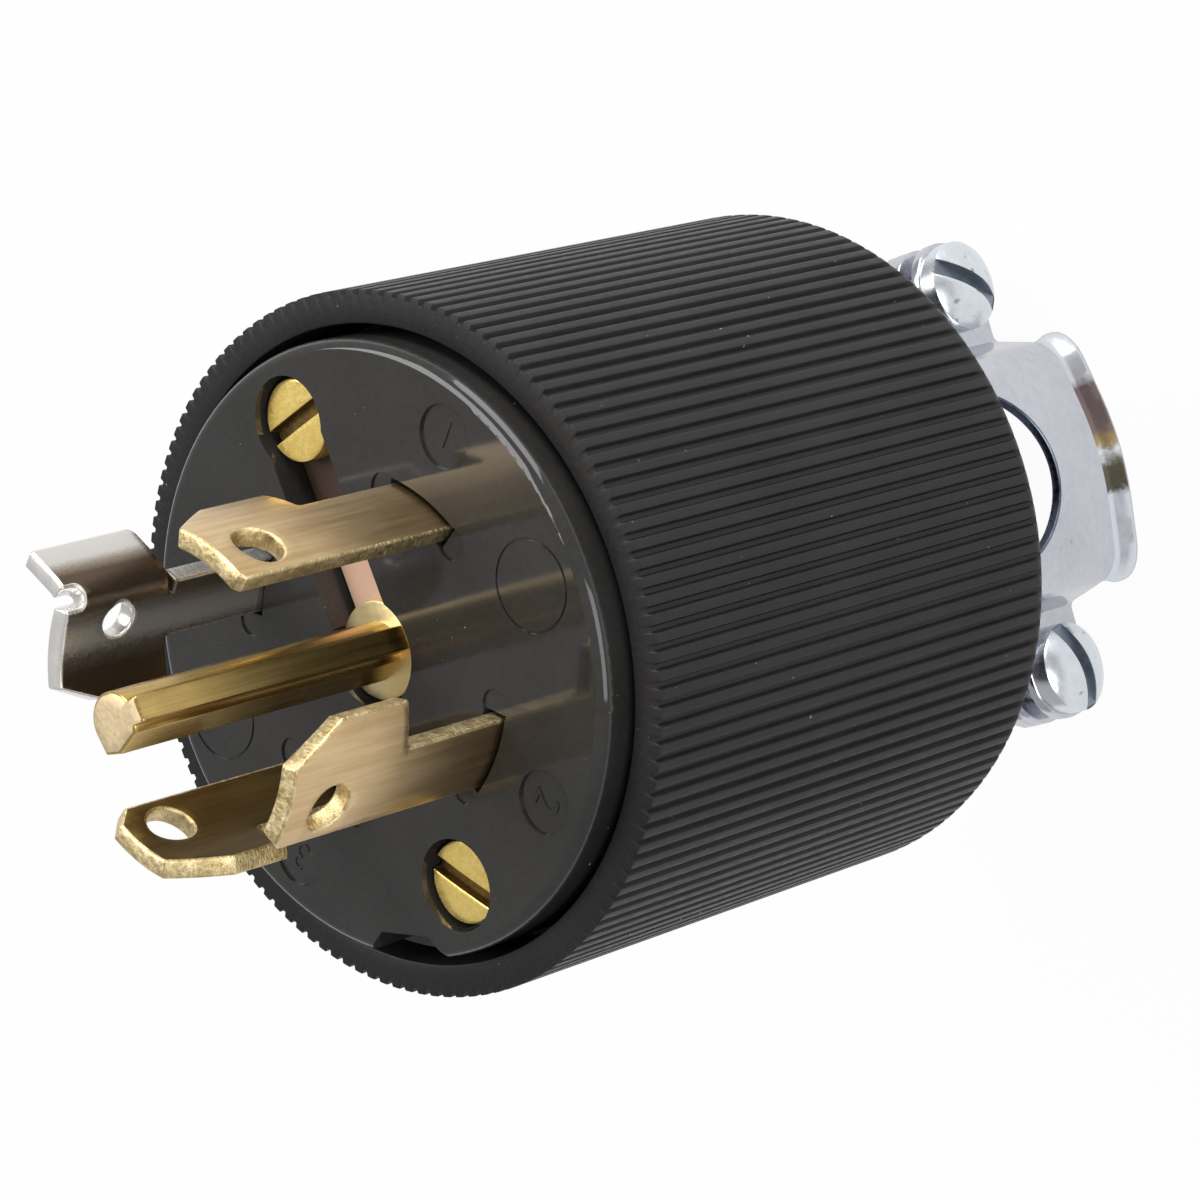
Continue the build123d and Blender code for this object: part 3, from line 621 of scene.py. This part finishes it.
notch_middle = arc_length + 1.0
notch_half = 0.6
notch_rear = 2.0 - neutral_reach
flange_front = 0.3 - neutral_reach
rear_low = neutral_along(175.3)
rear_high = neutral_along(153.0)
corners = [
    (0, 3.8 - neutral_reach),
    (1.6, -neutral_reach),
    (notch_middle - notch_half, -neutral_reach),
    (notch_middle - notch_half, notch_rear),
    (notch_middle + notch_half, notch_rear),
    (notch_middle + notch_half, flange_front),
    (flange_end, flange_front),
    (flange_end, slit_front),
    (arc_length + slit_start, slit_front),
    (arc_length + slit_start, hook_rear),
    (rear_high, hook_rear),
    (rear_high, blade_rear),
    (rear_low, blade_rear),
    (rear_low, hook_rear),
    (0, hook_rear),
]
radii = [0.4, 0.3, 0.2, 0.58, 0.58, 0.2, 0.3, 0.9, 0.05, 0.05, 0.2, 0.2, 0.2, 0.35, 0.3]
outline = rounded(corners, radii, 0.5)
hole = round_hole(neutral_along(164.3), 5.7 - neutral_reach, 1.48)


def shade_and_stain_along(material, direction, ragged, stops):
    """Changes a finish's colour with the place along a direction, in mm: painted reflections, highlights and
    shade on the neutral blade and the strap, and real stains on the clamp's lip; the fine noise makes the
    limits ragged by some mm. Each stop is a place and its screen colour."""
    start, end = stops[0][0], stops[-1][0]
    tree = material.node_tree
    along = tree.nodes.new("ShaderNodeVectorMath")
    along.operation = "DOT_PRODUCT"
    along.inputs[1].default_value = direction
    tree.links.new(tree.nodes["Texture Coordinate"].outputs["Object"], along.inputs[0])
    uneven = tree.nodes.new("ShaderNodeMath")
    uneven.operation = "MULTIPLY_ADD"
    uneven.inputs[1].default_value = ragged * mm
    tree.links.new(tree.nodes["Noise Texture"].outputs["Fac"], uneven.inputs[0])
    tree.links.new(along.outputs["Value"], uneven.inputs[2])
    share = tree.nodes.new("ShaderNodeMapRange")
    share.inputs["From Min"].default_value = (start + ragged / 2) * mm
    share.inputs["From Max"].default_value = (end + ragged / 2) * mm
    tree.links.new(uneven.outputs[0], share.inputs["Value"])
    shades = tree.nodes.new("ShaderNodeValToRGB")
    ramp = shades.color_ramp
    ramp.elements[0].color = tone(*stops[0][1])
    ramp.elements[1].color = tone(*stops[-1][1])
    for spot, colour in stops[1:-1]:
        ramp.elements.new((spot - start) / (end - start)).color = tone(*colour)
    tree.links.new(share.outputs[0], shades.inputs["Fac"])
    tree.links.new(shades.outputs["Color"], tree.nodes["Principled BSDF"].inputs["Base Color"])


neutral_nickel = finish(
    "neutral_nickel", tone(128, 116, 102), tone(222, 219, 214), 0.86, 0.17, (6000, 6000, 6000), 0.05, 0.014
)
# Outwards along the flange's direction, painted reflections and shade: dark plate with one bright band of
# painted highlight, dark fold, bright flange.
neutral_painted_light = (
    (9.5, (100, 86, 68)),
    (11.0, (108, 94, 76)),
    (11.6, (150, 140, 128)),
    (12.0, (240, 237, 233)),
    (12.35, (234, 230, 225)),
    (12.7, (140, 128, 114)),
    (13.4, (104, 90, 76)),
    (15.3, (92, 76, 62)),
    (16.1, (146, 134, 120)),
    (16.9, (206, 202, 197)),
    (19.5, (216, 213, 208)),
)
shade_and_stain_along(neutral_nickel, (-0.866, 0.5, 0.0), 0.9, neutral_painted_light)
neutral_edge = finish(
    "neutral_edge", tone(220, 215, 208), tone(244, 242, 238), 0.8, 0.26, (900, 900, 4800), 0.08, 0.02
)
# Upwards from the face: grey shank edges, painted shade on the edges of the slit behind the flange, painted
# highlight towards the tip.
edge_painted_light = (
    (0.0, (206, 202, 196)),
    (9.6, (206, 202, 196)),
    (10.0, (96, 84, 70)),
    (10.9, (96, 84, 70)),
    (11.3, (228, 225, 220)),
    (24.0, (236, 234, 230)),
)
shade_and_stain_along(neutral_edge, (0.0, 0.0, 1.0), 0.3, edge_painted_light)
parts = sheet(outline, [hole], blade_thickness, 0.24, neutral_place, 0.5, 0, 1)
tail_low = neutral_along(169.15)
tail_high = neutral_along(159.15)
tail_front = 10.8
tail_corners = [
    (tail_low, tail_front),
    (tail_high, tail_front),
    (tail_high, tail_rear),
    (tail_low, tail_rear),
]
parts += sheet(rounded(tail_corners, [0.2] * 4), [], 1.5, 0.2, neutral_place, 0.7, 0, 1)
neutral_paints = [neutral_nickel, neutral_edge]
piece("neutral_blade_dressed", parts, neutral_paints, ["neutral_blade"], crease=50.0)
repaint(neutral_nickel, "terminal_screw_neutral")

# Ground pin: drawn brass bar with a square key and one pointed edge, and a turned collar that holds
# the strap down. Its round root goes through the face and is riveted behind the ground plate.
pin_radius = 2.4
pin_reach = 27.0
key_angle = 30.0
key_half_width = 0.975
key_reach = 3.35
point_angle = -109.0
point_half_angle = 33.26
flat_angle = -42.0
flat_reach = 2.0
pin_angles = np.arange(0, 360, 1.5)
from_key = (pin_angles - key_angle + 180) % 360 - 180
from_point = (pin_angles - point_angle + 180) % 360 - 180
from_flat = (pin_angles - flat_angle + 180) % 360 - 180
bar = np.minimum(pin_radius, flat_reach / np.maximum(np.cos(np.radians(from_flat)), 0.1))
key_side = key_half_width / np.maximum(np.abs(np.sin(np.radians(from_key))), 1e-6)
key_top = key_reach / np.maximum(np.cos(np.radians(from_key)), 0.1)
key = np.where(np.abs(from_key) < 60, np.minimum(key_side, key_top), 0)
point_side = pin_radius / np.maximum(np.cos(np.radians(np.abs(from_point) - point_half_angle)), 0.1)
point = np.where(np.abs(from_point) < point_half_angle, point_side, 0)
section = np.maximum(np.maximum(bar, key), point)[None, :]
tip_inset = np.array([3.0, 1.2, 0.25, 0.12, 0.04, 0.0])[:, None]
tip_rows = np.maximum(section - tip_inset, 0.3)
tip_depth = -pin_reach + np.array([0.0, 0.0, 0.0, 0.05, 0.14, 0.3])
shaft_depth = np.array([-20.0, -10.0, -1.0, 1.2])
pin_rows = np.vstack([np.zeros((1, pin_angles.size)), tip_rows, np.repeat(section, 4, 0)])
pin_depth = np.concatenate([[-pin_reach], tip_depth, shaft_depth])
shaft = turned(pin_rows[3:], pin_depth[3:], pin_angles)
end_face = turned(pin_rows[:4], pin_depth[:4], pin_angles)
pin_parts = [surface(shaft.transpose(1, 0, 2), True), (*surface(end_face.transpose(1, 0, 2), True), 2)]
collar_radius = [0.5, 3.85, 4.0, 4.05, 4.05, 2.4, 2.4, 1.8, 1.8, 2.6, 2.6, 0.0]
collar_depth = [0.9, 0.9, 0.95, 1.1, 2.6, 2.6, 11.0, 11.0, 12.6, 12.6, 13.4, 13.4]
pin_brass = finish(
    "pin_brass", tone(156, 130, 74), tone(208, 180, 116), 1.0, 0.28, (2200, 2200, 60), 0.02, 0.0005
)
end_brass = finish(
    "end_brass", tone(212, 190, 148), tone(232, 212, 174), 1.0, 0.5, (2600, 2600, 2600), 0.06, 0.002
)
collar_brass = finish(
    "collar_brass", tone(226, 206, 152), tone(240, 222, 172), 1.0, 0.36, (2500, 2500, 2500), 0.05, 0.002
)
collar = turned(collar_radius, collar_depth, np.linspace(0, 360, 97)[:-1]).transpose(1, 0, 2)
pin_parts.append((*surface(collar, True), 1))
pin_paints = [pin_brass, collar_brass, end_brass]
piece("ground_pin_dressed", pin_parts, pin_paints, ["ground_pin"], crease=35.0)

# Ground strap: stamped copper link that lies in the face's channel, from under the pin's collar to
# under the upper assembly screw, so that the casing screws are earthed.
strap_angle = np.radians(117.8)
strap_half_width = 2.8
strap_middle_depth = 3.0
strap_copper = finish(
    "strap_copper", tone(228, 180, 152), tone(246, 208, 184), 0.25, 0.4, (3000, 3000, 900), 0.06, 0.003
)
# From the collar to the screw: bright copper, then dark brown painted shade over the upper part.
strap_painted_shade = (
    (3.0, (242, 206, 182)),
    (8.5, (234, 190, 164)),
    (12.0, (72, 50, 40)),
    (19.0, (54, 38, 30)),
)
shade_and_stain_along(strap_copper, (-0.4664, 0.8846, 0.0), 2.0, strap_painted_shade)


def strap_place(points):
    """Flat coordinates along and across the strap, laid at its depth in the channel."""
    along, across, height = points[..., 0], points[..., 1], points[..., 2]
    x = along * np.cos(strap_angle) - across * np.sin(strap_angle)
    z = along * np.sin(strap_angle) + across * np.cos(strap_angle)
    return np.stack([x, strap_middle_depth - height, z], -1)


ring = np.radians(np.linspace(90, 270, 21))
round_end = strap_half_width * np.stack([np.cos(ring), np.sin(ring)], -1)
far_end = np.array([screw_circle, 0.0]) - round_end
side_steps = np.linspace(0.8, screw_circle - 0.8, 24)
lower = np.stack([side_steps, np.full(24, -strap_half_width)], -1)
upper = np.stack([side_steps[::-1], np.full(24, strap_half_width)], -1)
outline = np.vstack([round_end, lower, far_end, upper])
holes = [round_hole(0, 0, 2.42, 32), round_hole(screw_circle, 0, 2.07, 32)]
strap_parts = sheet(outline, holes, 0.8, 0.15, strap_place)
piece("strap_dressed", strap_parts, [strap_copper], ["ground_strap"])

# Assembly screws: two bright brass screws with slotted cheese heads, sunk in the face, that draw
# the face, the block and the casing together.
head_cuts = 60
slot_first, slot_last = 12, 15


def slotted_head(radius, rim, dome, slot, depth, floor_level):
    """Head with a slot, as (across, along, height) points. Columns run along the slot at a = r sin t.
    Across it each goes up the rim at half width sqrt(r^2 - a^2), over the crown and through the slot;
    the crown's height falls with the square of the distance from the middle."""
    turn = np.radians(np.linspace(-90, 90, head_cuts + 1))
    along = radius * np.sin(turn)[:, None]
    half = np.maximum(radius * np.cos(turn), 1e-4)[:, None]
    lip = 0.10
    outer_inset = np.array([0, 0, 0.3 * lip, lip])[None, :]
    outer_drop = np.array([rim, lip, 0.3 * lip, 0])[None, :]
    share = np.linspace(0, 1, 8)[None, 1:-1]
    mouth = np.minimum(slot / 2, half)
    outer = half - np.minimum(outer_inset, np.maximum(half - mouth, 0))
    inner = mouth + np.minimum(np.array([lip, 0.3 * lip, 0])[None, :], np.maximum(half - mouth, 0))
    crown = outer[:, -1:] + (inner[:, :1] - outer[:, -1:]) * share
    across = np.hstack([outer, crown, inner])
    height = rim + dome * (1 - (across**2 + along**2) / radius**2)
    height[:, :4] -= outer_drop
    height[:, 0] = 0
    height[:, -2:] -= np.array([0.3 * lip, lip])[None, :]
    bottom = rim + dome - depth
    open_end = half[:, 0] <= slot / 2
    height[open_end, 1:] = np.minimum(height[open_end, 1:], bottom)
    across = np.hstack([across, mouth, -mouth, -across[:, ::-1]])
    slot_floor = np.minimum(bottom, height[:, -1:])
    height = np.hstack([height, slot_floor, slot_floor, height[:, ::-1]])
    return np.stack([across, np.broadcast_to(along, across.shape), height + floor_level], -1)


def with_slot(part):
    """A head's surface as two parts: rim and crown in the first material, the slot in the second, a darker
    finish that paints the slot's shade.
    """
    points, faces = part
    columns = faces.reshape(head_cuts, -1, 4)
    crown_faces = np.hstack([columns[:, :slot_first], columns[:, slot_last:]]).reshape(-1, 4)
    return [(points, crown_faces, 0), (points, columns[:, slot_first:slot_last].reshape(-1, 4), 1)]


screw_brass = finish(
    "screw_brass", tone(242, 202, 100), tone(255, 230, 142), 0.7, 0.26, (2600, 2600, 2600), 0.06, 0.004
)
# Darker brass for the slot: painted shade in the slot.
slot_shade_brass = finish(
    "slot_shade_brass", tone(70, 52, 24), tone(132, 106, 54), 0.8, 0.45, (1800, 1800, 1800), 0.06, 0.004
)
face_seat = 2.6
shank_radius = [0.0, 2.05, 2.05, 1.8, 0.0]
shank_depth = [2.5, 2.5, 33.2, 33.5, 33.5]
for number, (angle, slot_angle) in enumerate(zip(screw_angles, (35.0, -18.0)), 1):
    head = slotted_head(radius=3.35, rim=1.62, dome=0.08, slot=1.25, depth=0.9, floor_level=0.0)
    turn = np.radians(slot_angle)
    x = screw_circle * np.cos(np.radians(angle)) + head[..., 1] * np.cos(turn) - head[..., 0] * np.sin(turn)
    z = screw_circle * np.sin(np.radians(angle)) + head[..., 1] * np.sin(turn) + head[..., 0] * np.cos(turn)
    parts = with_slot(surface(np.stack([x, face_seat - head[..., 2], z], -1), False, True))
    shank = turned(shank_radius, shank_depth, round_about, screw_circle, angle)
    parts.append(surface(shank.transpose(1, 0, 2), True))
    stands_for = [f"assembly_screw_{number}"]
    piece(f"face_screw_{number}", parts, [screw_brass, slot_shade_brass], stands_for, crease=35.0)
repaint(screw_brass, "shell_insert_1", "shell_insert_2")
repaint(screw_brass, "terminal_screw_1", "terminal_screw_2", "terminal_screw_3")

# Terminals: stamped brass plates behind the face, square zinc-plated clamps and their screws, one
# set for each blade and one for the ground, whose screw is green.
terminal_names = ("1", "2", "3", "neutral", "ground")
plate_brass = finish("plate_brass", tone(176, 144, 84), tone(206, 174, 112), 1.0, 0.34, (2500, 2500, 2500))
repaint(plate_brass, *[f"terminal_plate_{name}" for name in terminal_names])
green_steel = finish("green_steel", tone(24, 92, 44), tone(40, 130, 66), 0.6, 0.3, (2500, 2500, 2500))
repaint(green_steel, "terminal_screw_ground")

# Cord clamp: two stamped steel jaws, zinc-plated and polished, with crowned saddles, round grip
# holes, flared lips and flat ears; the ears of the rear jaw are thicker and tapped for the screws.
jaw_angle = 112.0
jaw_thickness = 1.0
ear_level = 1.3
jaw_corners = [(22.4, ear_level), (12.1, ear_level), (10.4, 6.9), (0, 8.9)]
jaw_corners += [(-10.4, 6.9), (-12.1, ear_level), (-22.4, ear_level)]
path = rounded(jaw_corners, [0, 1.2, 3.4, 25.0, 3.4, 1.2, 0], 0.4, False)[::-1]
steps = np.linalg.norm(np.diff(path, axis=0), axis=1)
path_length = np.concatenate([[0], np.cumsum(steps)])
path_length -= path_length[-1] / 2
slope = np.gradient(path, path_length, axis=0)
slope /= np.linalg.norm(slope, axis=1, keepdims=True)
path_normal = np.stack([-slope[:, 1], slope[:, 0]], -1)
right = path_length > 0
ear_edge = path_length[-1]
leg_edge = np.interp(-2.35, -path[right, 1], path_length[right])
lip_edge = np.interp(-5.3, -path[right, 1], path_length[right])
tongue_edge = np.interp(7.6, path[right, 0], path_length[right])
tongue_front = 46.5
saddle_front = 50.7
ear_front = 75.3
ear_rear = 83.6
lip_start = 84.3
lip_slope = 0.55
lip_corner = 84.4
jaw_rear = 86.5
foot_depth = 47.0
hole_depth = 70.3
hole_radius = 7.8


def jaw_place(side):
    """Bends flat coordinates along the jaw's section and lays them on one side of the clamp; behind a
    crease the lip leans outwards in proportion to depth."""
    out_angle = np.radians(jaw_angle - 90 * side)
    out = np.array([np.cos(out_angle), np.sin(out_angle)])
    sideways = np.array([np.sin(out_angle), -np.cos(out_angle)])

    def place(points):
        along, depth, height = points[..., 0], points[..., 1], points[..., 2]
        u = np.interp(along, path_length, path[:, 0])
        n = np.interp(along, path_length, path[:, 1])
        normal_u = np.interp(along, path_length, path_normal[:, 0])
        normal_n = np.interp(along, path_length, path_normal[:, 1])
        lean = np.maximum(depth - lip_start, 0) * lip_slope
        lean = lean * np.clip((leg_edge + 0.5 - np.abs(along)) / 1.5, 0, 1)
        lift = height + lean
        u = u + normal_u * lift
        n = n + normal_n * lift
        return np.stack([u * sideways[0] + n * out[0], depth, u * sideways[1] + n * out[1]], -1)

    return place


clamp_zinc = finish(
    "clamp_zinc", tone(188, 190, 198), tone(204, 206, 213), 1.0, 0.18, (900, 900, 1400), 0.04, 0.002,
    0.45, 90.0, speck_tone=(112, 104, 88), speck_level=0.73, speck_size=700.0
)
# Dark navy finish for the wall of each jaw's grip hole: a painted dark reflection.
grip_hole_shade = finish(
    "grip_hole_shade", tone(70, 78, 92), tone(112, 120, 134), 1.0, 0.3, (1500, 1500, 1500), 0.08, 0.004
)
lip_stain = finish(
    "lip_stain", tone(210, 212, 218), tone(228, 230, 234), 1.0, 0.2, (900, 900, 900), 0.05, 0.002
)
# Along the lip, sideways on the jaw: bright plate with two stains, one brown and one olive.
lip_stains = (
    (-12.0, (214, 218, 226)),
    (-7.2, (208, 208, 214)),
    (-6.2, (122, 106, 108)),
    (-1.7, (134, 118, 112)),
    (-0.7, (180, 158, 110)),
    (0.2, (230, 234, 238)),
    (1.4, (108, 104, 86)),
    (3.4, (98, 94, 80)),
    (4.1, (214, 218, 226)),
    (12.0, (216, 220, 228)),
)
shade_and_stain_along(lip_stain, (0.3746, -0.9272, 0.0), 2.4, lip_stains)
half_outline = [
    (tongue_edge, tongue_front),
    (tongue_edge, saddle_front),
    (leg_edge, saddle_front),
    (leg_edge, ear_front),
    (ear_edge, ear_front),
    (ear_edge, ear_rear),
    (leg_edge, ear_rear),
    (lip_edge, lip_corner),
    (lip_edge, jaw_rear),
]
half_radii = [0.3, 0.8, 0.8, 1.0, 3.9, 3.9, 0.5, 0.5, 1.6]
corners = half_outline + [(-along, depth) for along, depth in reversed(half_outline)]
outline = rounded(corners, half_radii + half_radii[::-1], 0.5)
turn = -np.linspace(0, 2 * np.pi, 73)[:-1]
saddle = np.abs(path_length) < 9.5
hole_u = np.interp(hole_radius * np.cos(turn), path[saddle, 0], path_length[saddle])
grip_hole = np.stack([hole_u, hole_depth + hole_radius * np.sin(turn)], -1)
clamp_screw_out = 18.0
ear_hole = np.interp(clamp_screw_out, path[right, 0], path_length[right])
ear_depth = 79.45
for name, side in (("clamp_jaw_plain", 1), ("clamp_jaw_tapped", -1)):
    place = jaw_place(side)
    holes = [grip_hole, round_hole(ear_hole, ear_depth, 2.25, 28), round_hole(-ear_hole, ear_depth, 2.25, 28)]
    parts = sheet(outline, holes, jaw_thickness, 0.22, place, 0.55)
    # The grip hole's wall takes the painted dark reflection.
    parts[1] = (*parts[1][:2], 1)
    for skin in (len(parts) - 2, len(parts) - 1):
        points, faces = parts[skin][:2]
        on_lip = points[faces][..., 1].mean(1) > lip_start
        parts.append((points, faces[on_lip], 2))
        parts[skin] = (points, faces[~on_lip], 0)
    out_angle = np.radians(jaw_angle - 90 * side)
    out = np.array([np.cos(out_angle), np.sin(out_angle)])
    sideways = np.array([np.sin(out_angle), -np.cos(out_angle)])

    def foot_place(points):
        """Foot of the tongue, square to the axis inside the casing's rear wall."""
        u, n, height = points[..., 0], points[..., 1], points[..., 2]
        return np.stack([u * sideways[0] + n * out[0], foot_depth - height, u * sideways[1] + n * out[1]], -1)

    foot = rounded([(-6.1, 7.8), (6.1, 7.8), (6.1, 14.0), (-6.1, 14.0)], [0.3, 0.3, 1.0, 1.0])
    parts += sheet(foot, [], jaw_thickness, 0.2, foot_place)
    if side < 0:
        for flip in (1, -1):

            def pad_place(points):
                """Second thickness of a tapped ear, flat on the outside of the first."""
                u, depth, height = points[..., 0], points[..., 1], points[..., 2]
                n = 2.6 + height
                return np.stack([u * sideways[0] + n * out[0], depth, u * sideways[1] + n * out[1]], -1)

            pad_corners = [(12.9, ear_front), (22.4, ear_front), (22.4, ear_rear), (12.9, ear_rear)]
            pad = rounded(pad_corners, [0.3, 3.9, 3.9, 0.3]) * np.array([flip, 1])
            pad = pad[::flip]
            tapped = round_hole(clamp_screw_out * flip, ear_depth, 2.02, 28)
            parts += sheet(pad, [tapped], 1.6, 0.25, pad_place)
    piece(f"{name}_dressed", parts, [clamp_zinc, grip_hole_shade, lip_stain], [name], crease=25.0)

# Clamp screws: zinc-plated steel screws with domed, slotted heads on the near jaw, which run
# through both pairs of ears and draw the jaws together on the cord.
head_seat = 1.8
out_angle = np.radians(jaw_angle - 90)
out = np.array([np.cos(out_angle), np.sin(out_angle)])
sideways = np.array([np.sin(out_angle), -np.cos(out_angle)])
head_zinc = finish(
    "head_zinc", tone(208, 214, 220), tone(228, 232, 236), 1.0, 0.27, (900, 900, 900), 0.04, 0.003, 0.6, 90.0,
    speck_tone=(104, 98, 84), speck_level=0.7, speck_size=800.0
)
# Darker zinc for the slot: painted shade in the slot.
slot_shade_zinc = finish(
    "slot_shade_zinc", tone(112, 122, 132), tone(146, 156, 166), 0.8, 0.4, (900, 900, 900), 0.06, 0.004
)
for number, (flip, slot_angle) in enumerate(((-1, 56.0), (1, 12.0)), 1):
    head = slotted_head(radius=4.1, rim=1.6, dome=1.5, slot=1.45, depth=1.5, floor_level=head_seat)
    turn = np.radians(slot_angle)
    shank_angles = np.radians(round_about)[:, None]
    shank_radius = np.array([0.0, 2.0, 2.0, 1.7, 0.0])[None, :]
    shank_height = np.array([1.9, 1.9, -5.4, -5.7, -5.7])[None, :]
    shank = [shank_radius * np.cos(shank_angles), shank_radius * np.sin(shank_angles)]
    shank.append(np.broadcast_to(shank_height, shank[0].shape))
    parts = []
    for grid, closed in ((head, (False, True)), (np.stack(shank, -1), (True, False))):
        along = grid[..., 1] * np.cos(turn) - grid[..., 0] * np.sin(turn)
        depth = grid[..., 1] * np.sin(turn) + grid[..., 0] * np.cos(turn)
        u = clamp_screw_out * flip + along
        n = grid[..., 2]
        points = np.stack([u * sideways[0] + n * out[0], ear_depth + depth, u * sideways[1] + n * out[1]], -1)
        parts.append(surface(points, *closed))
    parts = with_slot(parts[0]) + parts[1:]
    name = f"clamp_screw_{number}"
    piece(f"{name}_dressed", parts, [head_zinc, slot_shade_zinc], [name], crease=35.0)
repaint(clamp_zinc, *[f"wire_clamp_{name}" for name in terminal_names])
